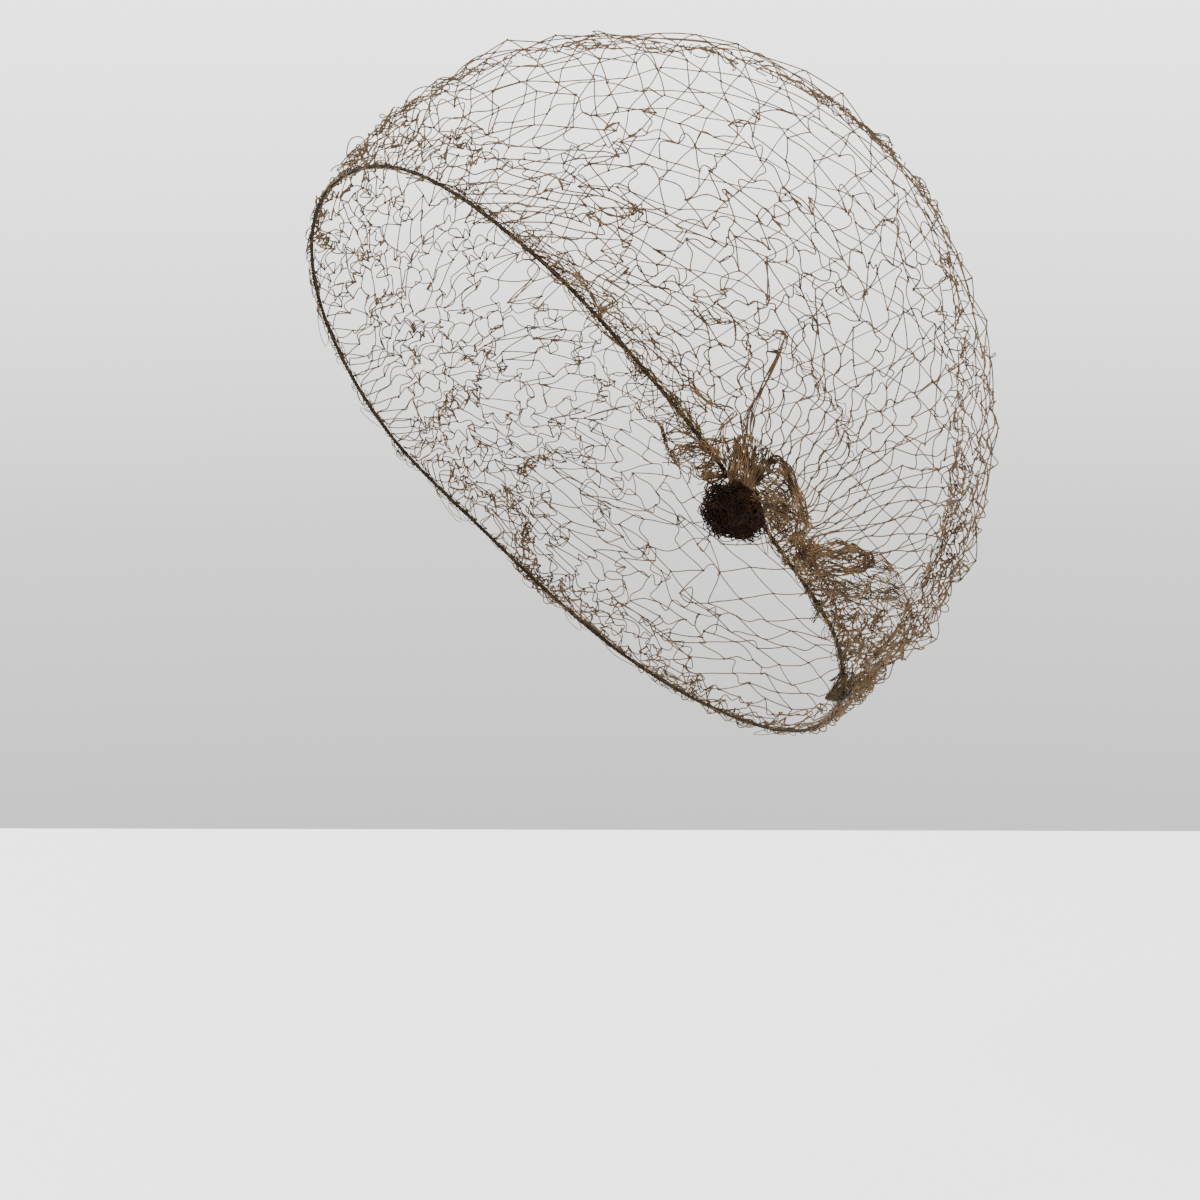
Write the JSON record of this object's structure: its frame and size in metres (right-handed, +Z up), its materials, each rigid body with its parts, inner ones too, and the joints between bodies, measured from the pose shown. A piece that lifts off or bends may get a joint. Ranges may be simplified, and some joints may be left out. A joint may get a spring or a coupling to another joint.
{
  "type": "hairnet",
  "caption": "Worn hairnet: a knotted diamond net cap gathered on a thin covered elastic, with a dark tied knot and bunched net at the left temple.",
  "frame": {"origin": "the crown seat: the top of the head inside the net, where the worn net rests", "axes": "+Z up, the wearer faces -Y, and +X is the wearer's left"},
  "size_m": [0.1611, 0.1611, 0.1736],
  "materials": {
    "net": "fine light brown nylon net",
    "elastic": "dark olive brown thread-covered elastic",
    "knot": "very dark brown tied and felted nylon thread",
    "gather": "bunched brown nylon net"
  },
  "bodies": {
    "root": {"net_cap": "net", "elastic_band": "elastic", "side_knot": "knot", "knot_fan": "gather", "gathered_fold": "gather", "net_tuck": "gather", "nape_bunch": "gather"}
  },
  "joints": []
}
